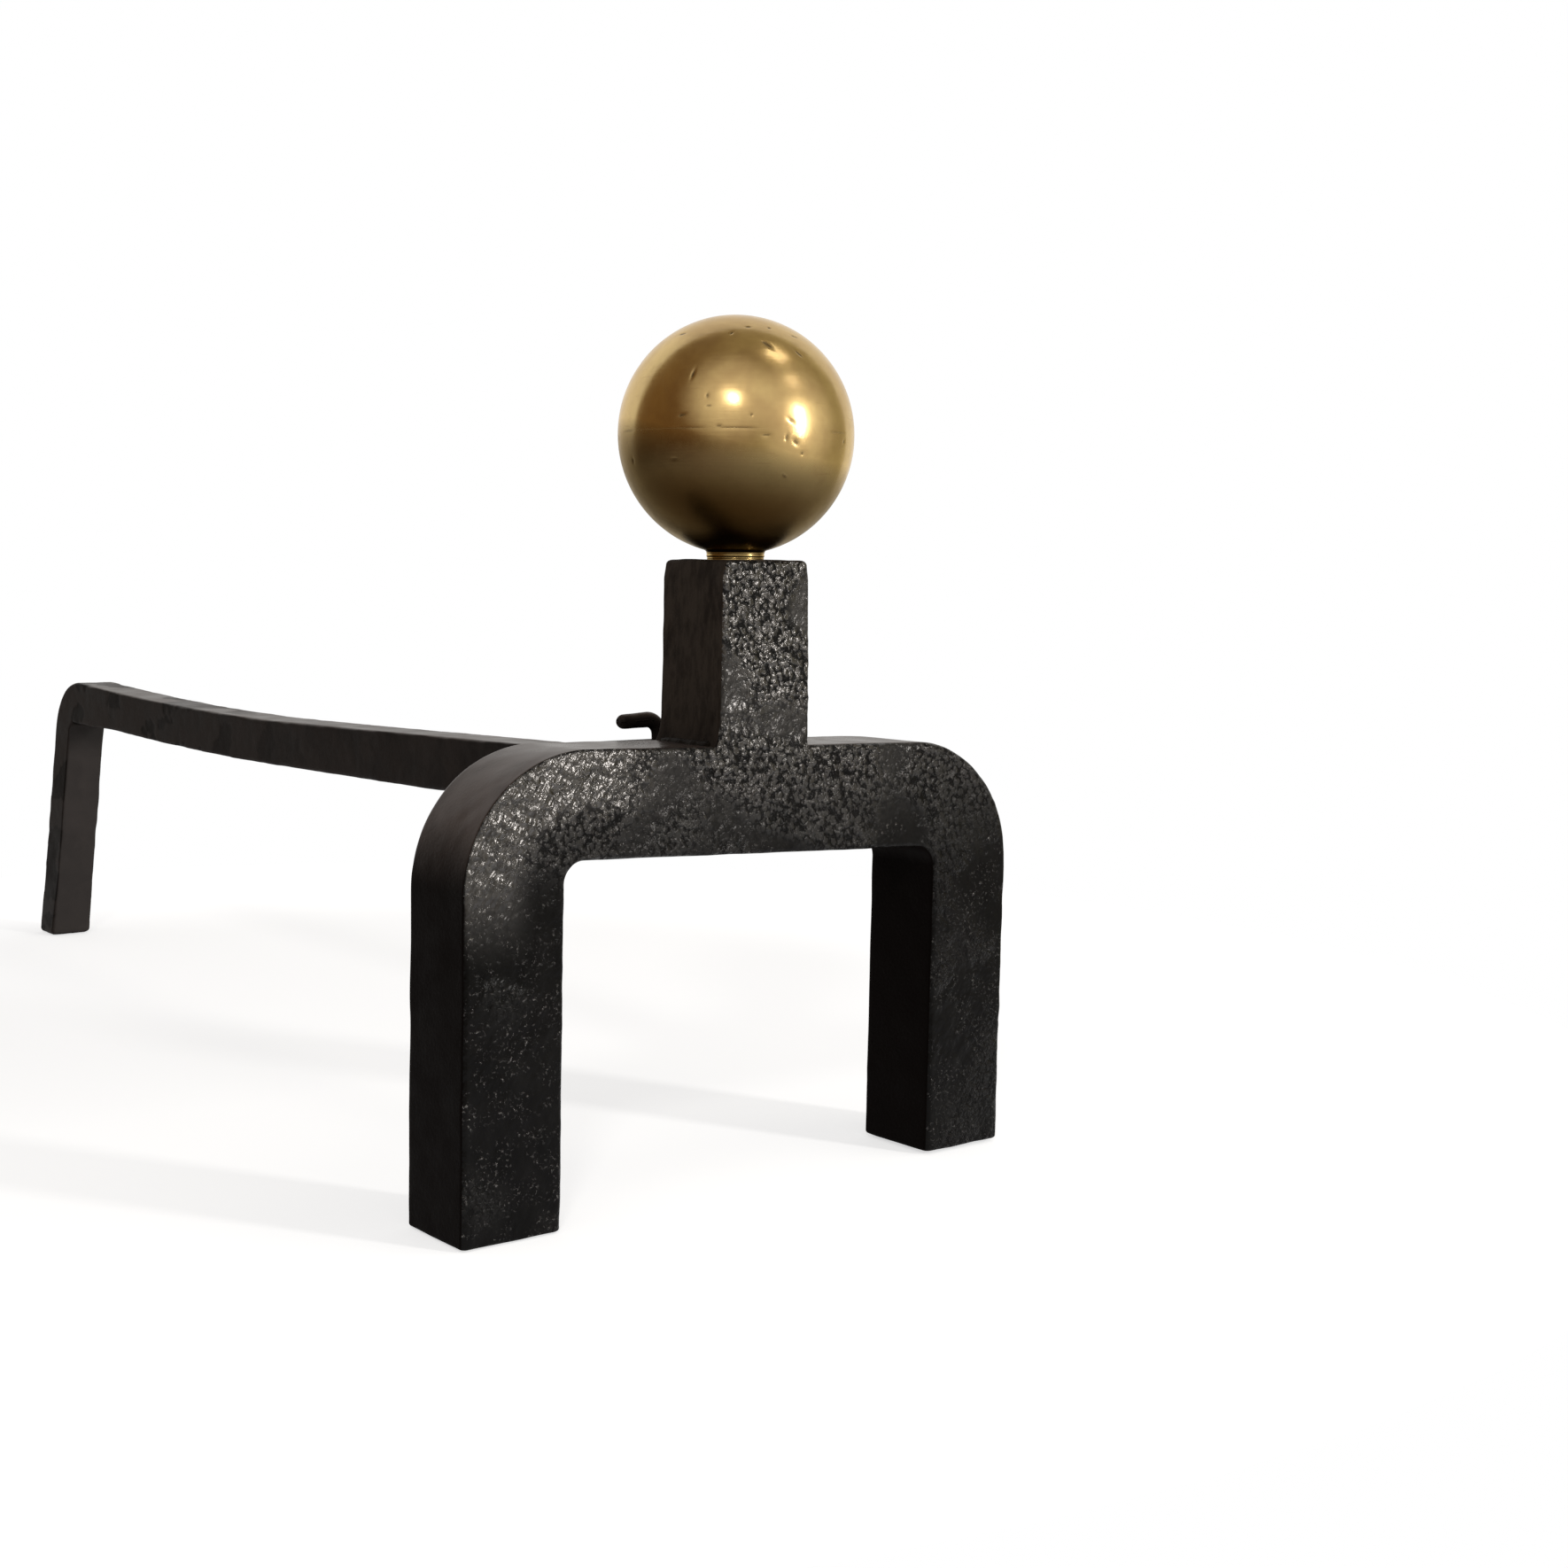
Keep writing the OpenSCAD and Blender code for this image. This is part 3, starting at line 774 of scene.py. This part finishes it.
class ANDIRON_OT_log_bar(bpy.types.Operator):
    """Draw the log bar: low in the middle, bent down into the splayed rear leg"""

    bl_idname = "andiron.log_bar"
    bl_label = "Forge the log bar"

    def execute(self, context):
        settings = context.scene.andiron_iron
        front, back, socket_end = BAR_LOW[1], BAR_HIGH[1], SOCKET_HIGH[1]
        # Seen from the side: the top's height at the socket and how far it dips, and the
        # thickness at the socket and at the rear; then the rear stretch's length and
        # slope, the leg's splay, the rear bend's radii, and its inner corner's drop.
        front_top, sag, front_h, rear_h = 155.4, 5.2, 25.4, 22.0
        rise, lean, splay_degrees = 245.0, 3.2, 14.3
        outer_r, inner_r, under_drop = 40.0, 7.0, 2.6
        slope, splay = math.radians(lean), math.radians(splay_degrees)
        climb, outward = math.tan(slope), math.tan(splay)
        low_z = front_top - sag
        turn = 90 - splay_degrees + lean
        half_turn = math.tan(math.radians(turn) / 2)
        run = outer_r * half_turn
        bend_z = low_z + climb * rise / 2
        bend_y = back - run * math.cos(slope) - outward * (bend_z + run * math.sin(slope))
        low_y = bend_y - rise
        leg_t = rear_h / math.cos(splay)

        def to_low(y):
            """0 at the socket's end and 1 at the low point."""
            return np.clip((y - socket_end) / (low_y - socket_end), 0, 1)

        def top_line(y):
            fall = ramp(socket_end, low_y, y) * 0.35 + 0.65 * to_low(y)
            back_up = np.clip((y - low_y) / rise, 0, 1) ** 2 * (bend_z - low_z)
            return front_top - sag * fall + back_up

        # The bend's inner corner is where the undersides of the bar and the leg meet.
        under_z = bend_z - rear_h - under_drop
        corner_y = ((back - leg_t - outward * (under_z - climb * bend_y))
                    / (1 + outward * climb))
        corner_z = under_z + climb * (corner_y - bend_y)
        start_y = corner_y - inner_r * half_turn * math.cos(slope)
        start_z = corner_z - inner_r * half_turn * math.sin(slope)

        y_out = np.linspace(front + 1.2, bend_y, 470)[:-1]
        y_in = y_out + (start_y - bend_y) * ramp(bend_y - 90, bend_y, y_out)
        rear = ramp(bend_y - 60, bend_y, y_out)
        under = top_line(y_in) - front_h - (rear_h - front_h) * to_low(y_in) ** 0.8
        under = under * (1 - rear) + rear * (start_z + climb * (y_in - start_y))
        first, last = 90 + lean, 90 + lean - turn
        over_bend = curled((bend_y, bend_z), outer_r, first, last, (back, 1.0))
        under_bend = curled((start_y, start_z), inner_r, first, last, (back - leg_t, 1.0))
        outer, inner = (lengthwise(np.concatenate([np.stack(run, axis=-1), *bend]))
                        for run, bend in (((y_out, top_line(y_out)), over_bend),
                                          ((y_in, under), under_bend)))
        path = between_outlines(outer, inner, (1, 0, 0), BAR_HIGH[0], 1.3)
        centre = path[0]
        # The foot is spread to 24 mm, with rounder corners.
        foot = 1 - ramp(0, 45, centre[:, 2])
        edge = np.clip(1.3 + 0.8 * lattice_noise(centre, 9.0, 21), 0.6, 2.4)
        path[5] = edge * (1 - foot) + 2.6 * foot
        path[4] = path[4] - 0.2 + 0.25 * lattice_noise(centre, 40.0, 22) + 1.0 * foot
        rows = sweep(section_plan((18, 20, 18, 20)), *capped(path, 1.0, 2.6))
        normals = grid_normals(rows)
        # Flaked patches: drawn out along the bar, with more of them towards the rear. The
        # rear leg's inner side has few, except near its top.
        bare = ramp(0.16, 0.24, lattice_noise(rows * np.array([1, 0.55, 1]), 13, 23)
                    + 0.25 * lattice_noise(rows, 4.0, 24))
        reach = ramp(-40, 220, rows[..., 1])
        inside = ramp(280, 320, rows[..., 1]) * ramp(0.5, 0.9, -normals[..., 1])
        bare = bare * (0.25 + 0.75 * reach) * (1 - 0.75 * inside)
        bare = np.maximum(bare, 0.8 * inside * ramp(106, 126, rows[..., 2]))
        height = (0.15 * lattice_noise(rows * np.array([1, 0.4, 1]), 15, 25)
                  + 0.06 * lattice_noise(rows, 4.5, 26) - settings.flake_step * bare)
        make_piece("log_bar_forged", [rows + normals * height[..., None]], "root",
                   ["log_bar"], ["bar"],
                   masks={"flake": bare, "upper": ramp(0.3, 0.9, normals[..., 2]),
                          "rear": inside})
        return {"FINISHED"}


class ANDIRON_OT_drop_pin(bpy.types.Operator):
    """Bend the drop pin: a round rod with its upper end turned over to the left"""

    bl_idname = "andiron.drop_pin"
    bl_label = "Bend the drop pin"

    def execute(self, context):
        radius = (PIN_HIGH[1] - PIN_LOW[1]) / 2
        y = (PIN_HIGH[1] + PIN_LOW[1]) / 2
        bend_r, droop, handle, tip, steps = 6.0, 2.0, 10.6, 2.7, 26
        middle = np.array((-bend_r, SOCKET_HIGH[2] + 3.0))
        reach = handle + tip
        t = np.linspace(0, 1, steps)
        hold = (on_circle(middle, bend_r, 90 + droop)
                + (t * (reach - 0.5))[:, None] * on_circle((0, 0), 1, 180 + droop))
        centre = standing(np.concatenate([
            line((0, PIN_LOW[2] + 0.6), (0, middle[1]), 40),
            arc(middle, bend_r, 0, 90 + droop, 30), hold]), y)
        ahead = unit(np.gradient(centre, axis=0))
        across = (0, 1.0, 0)
        # The handle thins towards its rounded tip.
        size = np.full(len(centre), radius)
        round_off = np.clip((reach - (reach - 0.5) * t) / tip, 0, 1)
        size[-steps:] = (radius + (tip - radius) * t) * np.sqrt(1 - (1 - round_off) ** 2)
        path = path_arrays(centre, np.cross(across, ahead), across, size, size, size)
        rows = sweep(section_plan((1, 1, 1, 1), 9), *capped(path, 0.6, 0.05, 3, 3))
        normals = grid_normals(rows)
        height = 0.10 * lattice_noise(rows, 3.2, 41) + 0.12 * lattice_noise(rows, 7.0, 42)
        height = height * ramp(SOCKET_HIGH[2], SOCKET_HIGH[2] + 3, rows[..., 2])
        # The upper mask puts a painted highlight along the top of the handle.
        make_piece("drop_pin_bent", [rows + normals * height[..., None]], "pin",
                   ["drop_pin"], ["bar"],
                   masks={"flake": 0 * height,
                          "upper": ramp(0.2, 0.9, normals[..., 2])})
        return {"FINISHED"}


# Dents and scratches on the ball: turn round the ball from the front and height above its
# middle, length and width, and tilt, in degrees; then depth in mm.
MARKS = (
    (-17, 44, 4.5, 1.6, -50, 0.35), (-60, 26, 3.0, 0.8, 80, 0.30),
    (-13, -4, 2.0, 0.9, 85, 0.30), (-23, -3, 2.4, 0.8, 0, 0.20),
    (-11, 4, 2.6, 0.7, -30, 0.25), (-4, -11, 0.9, 0.9, 0, 0.35),
    (-30, 6, 0.8, 0.8, 0, 0.30), (-63, 6, 2.6, 0.8, 10, 0.22),
    (-51, 15, 1.0, 1.6, 0, 0.18), (-50, 10, 1.6, 0.7, 0, 0.18),
    (-45, 1, 1.8, 0.6, 0, 0.18), (4, 39, 3.4, 1.2, -55, 0.28),
    (-12, -22, 2.2, 0.9, -35, 0.25), (-41, 52, 1.6, 0.8, 60, 0.22),
    (-98, -14, 1.0, 1.6, 0, 0.3), (-85, 53, 3.0, 1.1, 10, 0.22),
    (-27, 58, 2.0, 0.9, 0, 0.20), (-7, 58, 1.3, 1.0, 0, 0.25),
    (13, 52, 3.0, 0.9, -25, 0.20), (26, -4, 1.2, 0.9, 20, 0.18),
    (-68, -14, 2.0, 0.6, 0, 0.15), (-8, -6, 2.4, 1.4, -40, 0.25),
)
MARK_SIZE = 0.85                # share of the lengths and widths above
STRAYS = 26                     # marks strewn over the sides that the list leaves empty
# Stretches of the seam that show: turn round the ball, length in degrees, and strength.
SEAM_MARKS = ((-37, 9, 0.45), (-62, 10, 0.3), (-100, 6, 0.4), (20, 6, 0.4), (75, 12, 0.5),
              (140, 16, 0.7), (205, 9, 0.5))


def apart(turn, other):
    """Angle from one turn to another, from -180 to 180 degrees."""
    return (turn - other + 180) % 360 - 180


def ball_skin(rows, settings):
    """Depth of the marks in the ball's outer skin, in mm, and how dirty each point is.
    A mark is exp(-(u/length)^2 - (v/width)^2), with u and v turned by its tilt; the seam
    is a line at the ball's middle that shows only along a few stretches."""
    ray = unit(rows - BALL_C)
    turn = np.degrees(np.arctan2(ray[..., 0], -ray[..., 1]))
    rise = np.degrees(np.arcsin(np.clip(ray[..., 2], -1, 1)))
    rng = np.random.default_rng(5)
    strays = zip(*(rng.uniform(low, high, STRAYS) for low, high in (
        (45, 245), (-35, 65), (0.8, 3.2), (0.6, 1.1), (-90, 90), (0.12, 0.28))))
    depth, dirt = np.zeros(turn.shape), np.zeros(turn.shape)
    for at_turn, at_rise, length, width, tilt, deep in (*MARKS, *strays):
        across = apart(turn, at_turn) * np.cos(np.radians(rise))
        up = rise - at_rise
        c, s = math.cos(math.radians(tilt)), math.sin(math.radians(tilt))
        u = (c * across + s * up) / (MARK_SIZE * length)
        v = (c * up - s * across) / (MARK_SIZE * width)
        bowl = np.exp(-u * u - v * v)
        depth += deep * bowl
        dirt = np.maximum(dirt, ramp(0.35, 0.75, bowl) * min(1, deep * 4.5))
    seam = np.full(turn.shape, 0.01)
    for at_turn, length, strength in SEAM_MARKS:
        seam = np.maximum(seam, strength * np.exp(-(apart(turn, at_turn) / length) ** 4))
    seam = seam * np.exp(-(rise / 0.45) ** 2)
    return depth * settings.dent_depth + 0.18 * seam, np.clip(dirt + seam, 0, 1)


def turned(degrees):
    """Points (radius, height) of the unit circle, by the angle down from its top."""
    angle = np.radians(degrees)
    return np.stack([np.sin(angle), np.cos(angle)], axis=-1)


class ANDIRON_OT_ball(bpy.types.Operator):
    """Raise the ball's two halves, with the dents and the brazed seam"""

    bl_idname = "andiron.ball"
    bl_label = "Raise the ball"

    def execute(self, context):
        wall, lip_h, lip_t = 3.0, 4.0, 1.5
        z = BALL_C[2]
        in_r, seam_r = BALL_R - wall, BALL_R - 0.002
        lip_r = math.sqrt(in_r ** 2 - lip_h ** 2) - 0.1
        lip_in = lip_r - lip_t
        lip_rise = math.sqrt(in_r ** 2 - lip_in ** 2)
        # Two rows lie close by the seam, so that each half's edge is sharp.
        outer = BALL_R * turned(np.append(np.linspace(0.4, 89.8, 136), (89.94, 89.97)))
        inside = in_r * turned(np.linspace(math.degrees(math.acos(lip_rise / in_r)), 2, 24))
        lip = np.array([[seam_r, 0.0], [lip_r + 0.6, 0.0], [lip_r, -0.1],
                        [lip_r, 0.2 - lip_h], [lip_r - 0.2, -lip_h], [lip_in + 0.2, -lip_h],
                        [lip_in, 0.2 - lip_h], [lip_in, lip_rise - 0.1]])
        profile = np.concatenate([outer, lip, inside]) + [0, z]
        self.half("ball_upper_half", profile, len(outer), context, ["ball_upper"], False)
        neck_r, bore_r = 10.55, 8.05
        band = NECK_Z + 2.0
        # The flare's circle touches the neck's side and, from outside, the ball's circle.
        flare_r = ((z - band) ** 2 + neck_r ** 2 - BALL_R ** 2) / (2 * (BALL_R - neck_r))
        flare_c = np.array([neck_r + flare_r, band])
        touch = 180 - math.degrees(math.asin(flare_c[0] / (BALL_R + flare_r)))
        outer = BALL_R * turned(np.append((90.03, 90.06), np.linspace(90.2, touch, 108)))
        flare = arc(flare_c, flare_r, 270.5 - touch, 180, 22)
        # The neck's side, with a fine groove near its top and a step above its foot.
        neck = np.array([[neck_r, 2.0], [neck_r, 1.8], [neck_r - 0.25, 1.65],
                         [neck_r, 1.5], [neck_r, 0.75], [neck_r - 0.3, 0.55],
                         [neck_r - 0.3, 0.35], [neck_r - 0.1, 0.2], [neck_r - 0.2, 0],
                         [bore_r + 0.2, 0], [bore_r, 0.2]]) + [0, NECK_Z]
        bore_top = [[bore_r, z - math.sqrt(in_r ** 2 - bore_r ** 2) - 0.2]]
        inside = in_r * turned(np.linspace(
            180 - math.degrees(math.asin(bore_r / in_r)), 90.5, 24)) + [0, z]
        rim = [[in_r, z], [seam_r, z]]
        profile = np.concatenate([outer + [0, z], flare, neck, bore_top, inside, rim])
        self.half("ball_lower_half", profile, len(outer) + 6, context, ["ball_lower"], True)
        return {"FINISHED"}

    def half(self, name, profile, skin_rows, context, nodes, ring_closed):
        """Turns a profile and marks its first rows, which are the outer skin."""
        rows = revolve(profile, BALL_C, 560)
        depth, dirt = ball_skin(rows, context.scene.andiron_brass)
        uneven = 0.05 * lattice_noise(rows, 16, 51) + 0.012 * lattice_noise(rows, 4.0, 52)
        fade = np.clip((skin_rows - np.arange(len(profile))) / 4, 0, 1)
        # Both halves keep the whole unevenness at the seam, and so meet in one line.
        fade[-1 if ring_closed else slice(skin_rows - 4, skin_rows + 1)] = 1
        skin = np.broadcast_to(fade[:, None], rows.shape[:2])
        rows = rows + unit(rows - BALL_C) * ((uneven - depth) * skin)[..., None]
        make_piece(name, [rows], "ball", nodes, ["brass"], ring_closed,
                   {"dent": dirt * skin})


class ANDIRON_OT_fittings(bpy.types.Operator):
    """Turn the brass washer, and finish the stud, the bush and the socket"""

    bl_idname = "andiron.fittings"
    bl_label = "Finish the fittings"

    def execute(self, context):
        low, high = WASHER_LOW[2], WASHER_HIGH[2]
        out_r, in_r, ease = WASHER_HIGH[0] + 0.1, 5.2, 0.25
        edge = np.array([[in_r, ease], [in_r + ease, 0], [out_r - ease, 0],
                         [out_r - 0.07, 0.07], [out_r, ease]])
        profile = np.concatenate([edge + [0, low], edge[::-1] * [1, -1] + [0, high]])
        rows = revolve(profile, BALL_C, 120)
        rows[..., :2] += 0.06 * lattice_noise(rows, 6.0, 61)[..., None]
        make_piece("neck_washer_turned", [rows], "root", ["neck_washer"],
                   ["brass"], True, {"dent": np.full(rows.shape[:2], 0.25)})
        for node, key in (("stud", "steel"), ("ball_bush", "brass"), ("socket", "bar")):
            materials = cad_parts[node].data.materials
            materials.clear()
            materials.append(material_of(key))
        return {"FINISHED"}


MATERIALS = {}


def material_of(key):
    """The finish of that name, made the first time that it is asked for."""
    if key not in MATERIALS:
        maker = {"waxed": waxed_iron, "dull": dull_iron, "bar": scaled_iron,
                 "weld": weld_metal, "steel": plain_steel, "brass": aged_brass}[key]
        scene = bpy.context.scene
        MATERIALS[key] = maker(scene.andiron_brass if key == "brass" else scene.andiron_iron)
    return MATERIALS[key]


# ---- studio

CAMERA_PLACE = (-0.47955, -0.96545, 0.22593)
CAMERA_TURN = (38.32, 5.56, 0.52)        # right of straight back, down, and rolled, degrees
FLOOR_Z = -0.0006                        # just under the feet
LAMPS = (
    # name, turn and rise from the ball, width and height in metres, radiance, colour
    ("soft lamp on the left", -41, 31.5, 0.20, 0.25, 32, (1.0, 0.98, 0.95)),
    ("soft lamp on the right", 26.5, 11.5, 0.15, 0.62, 50, (1.0, 0.98, 0.95)),
    ("soft lamp overhead", 54, 64, 0.45, 0.45, 2.5, (1.0, 0.95, 0.86)),
    ("soft lamp high right", 34, 42, 0.30, 0.30, 1.6, (1.0, 0.97, 0.92)),
)
LAMP_DISTANCE = 1.8
PALE = (0.95, 0.93, 0.90)                # what mirrors show behind and below the object


def direction(turn, rise):
    """Unit direction by its turn from the front towards +X, and its rise, in degrees."""
    a, e = math.radians(turn), math.radians(rise)
    return Vector((math.sin(a) * math.cos(e), -math.cos(a) * math.cos(e), math.sin(e)))


def softbox(name, turn, rise, width, height, radiance, colour):
    """A rectangular lamp that looks at the ball, of that radiance."""
    lamp = bpy.data.lights.new(name, "AREA")
    lamp.shape, lamp.size, lamp.size_y = "RECTANGLE", width, height
    lamp.energy = radiance * math.pi * width * height
    lamp.color = colour
    lamp_object = bpy.data.objects.new(name, lamp)
    towards = direction(turn, rise)
    lamp_object.location = Vector(BALL_C * MM) + towards * LAMP_DISTANCE
    lamp_object.rotation_euler = towards.to_track_quat("Z", "Y").to_euler()
    bpy.context.scene.collection.objects.link(lamp_object)


class ANDIRON_OT_stage(bpy.types.Operator):
    """Lay the pale floor, hang the softboxes and set the camera"""

    bl_idname = "andiron.stage"
    bl_label = "Set the studio"

    def execute(self, context):
        settings = context.scene.andiron_stage
        self.camera(settings)
        self.floor(settings)
        self.world()
        for lamp in LAMPS:
            softbox(*lamp)
        context.scene.view_settings.view_transform = "Standard"
        return {"FINISHED"}

    def camera(self, settings):
        """At the left of the front, a little above the crossbar, looking slightly down."""
        yaw, pitch, roll = (math.radians(a) for a in CAMERA_TURN)
        ahead = Vector((math.sin(yaw) * math.cos(pitch), math.cos(yaw) * math.cos(pitch),
                        -math.sin(pitch)))
        right = Vector((math.cos(yaw), -math.sin(yaw), 0))
        up = right.cross(ahead)
        x = right * math.cos(roll) + up * math.sin(roll)
        y = up * math.cos(roll) - right * math.sin(roll)
        turn = Matrix((x, y, -ahead)).transposed().to_4x4()
        data = bpy.data.cameras.new("camera")
        data.lens, data.sensor_width = settings.lens, 36.0
        data.clip_start, data.clip_end = 0.05, 100
        camera = bpy.data.objects.new("camera", data)
        camera.matrix_world = Matrix.Translation(CAMERA_PLACE) @ turn
        bpy.context.scene.collection.objects.link(camera)
        bpy.context.scene.camera = camera

    def floor(self, settings):
        """A disc just under the feet, white to the camera and still shaded."""
        rings, spokes = (0.02, 0.2, 0.35, 0.5, 0.62), 64
        points = revolve(np.array([[radius, FLOOR_Z] for radius in rings]), (0, 0), spokes)
        faces = grid_faces(points.shape[:2], 0, False)[:, ::-1].tolist()
        hub = len(rings) * spokes
        faces += [[(k + 1) % spokes, hub, k] for k in range(spokes)]
        mesh = bpy.data.meshes.new("studio_floor")
        mesh.from_pydata(np.concatenate([points.reshape(-1, 3), [[0, 0, FLOOR_Z]]]), [],
                         faces)
        r = Recipe("pale studio floor")
        seen = r.maths("MAXIMUM", *(r.add("LightPath", take=ray) for ray in (
            "Is Camera Ray", "Is Glossy Ray", "Is Transmission Ray")))
        far = r.add("VectorMath", {0: r.place}, "Value", operation="LENGTH")
        glow = r.times(seen, r.remap(far, 0.3, 0.58, 0.60, 0.80))
        dull = r.add("BsdfDiffuse", {"Color": (*settings.floor, 1)})
        white = r.add("Emission", {"Strength": glow})
        r.add("OutputMaterial", {"Surface": r.add("AddShader", {0: dull, 1: white})})
        mesh.materials.append(r.owner)
        floor = bpy.data.objects.new("studio_floor", mesh)
        bpy.context.scene.collection.objects.link(floor)

    def world(self):
        """White behind the object and to the camera, a dim warm room before it."""
        r = Recipe("pale studio", "worlds", "Generated")
        bpy.context.scene.world = r.owner
        sideways = r.remap(r.along(direction(62, 8)), -0.9, 0.9)
        glows = [(r.remap(r.along(direction(*way)), 0.62, 0.985, 0.0, 0.75), (1.25, 1.2, 1.1))
                 for way in ((-41, 33), (27, 14))]
        behind = r.remap(r.along(direction(151, 8)), 0.545, 0.590)
        # Further down, the room shows the floor that runs on beyond the disc.
        below = r.remap(r.axis(2), -0.64, -0.14, 1.0, 0.0)
        colour = r.paint((0.20, 0.12, 0.055), (sideways, (0.45, 0.40, 0.27)), *glows,
                         (below, PALE), (behind, PALE),
                         (r.add("LightPath", take="Is Diffuse Ray"), (0.30, 0.29, 0.285)),
                         (r.add("LightPath", take="Is Camera Ray"), (1.0, 1.0, 1.0)))
        r.add("OutputWorld", {"Surface": r.add("Background", {"Color": colour})})


# ---- the add-on

PIECES = ("arch", "post", "welds", "log_bar", "drop_pin", "ball", "fittings")
GROUPS = {"andiron_iron": ANDIRON_PG_iron, "andiron_brass": ANDIRON_PG_brass,
          "andiron_stage": ANDIRON_PG_stage}


class ANDIRON_PT_panel(bpy.types.Panel):
    """Lists the pieces of the andiron in the order in which they are made"""

    bl_idname = "ANDIRON_PT_panel"
    bl_label = "Andiron"
    bl_space_type = "VIEW_3D"
    bl_region_type = "UI"
    bl_category = "Andiron"

    def draw(self, context):
        for name in PIECES + ("stage",):
            self.layout.operator("andiron." + name)
        for name, group in GROUPS.items():
            for key in group.__annotations__:
                self.layout.prop(getattr(context.scene, name), key)


CLASSES = (*GROUPS.values(), ANDIRON_OT_arch, ANDIRON_OT_post, ANDIRON_OT_welds,
           ANDIRON_OT_log_bar, ANDIRON_OT_drop_pin, ANDIRON_OT_ball, ANDIRON_OT_fittings,
           ANDIRON_OT_stage, ANDIRON_PT_panel)


def register():
    for kind in CLASSES:
        bpy.utils.register_class(kind)
    for name, group in GROUPS.items():
        setattr(bpy.types.Scene, name, PointerProperty(type=group))


def unregister():
    for name in GROUPS:
        delattr(bpy.types.Scene, name)
    for kind in reversed(CLASSES):
        bpy.utils.unregister_class(kind)


def main():
    register()
    for name in PIECES + ("stage",):
        getattr(bpy.ops.andiron, name)()


if __name__ == "__main__":
    main()
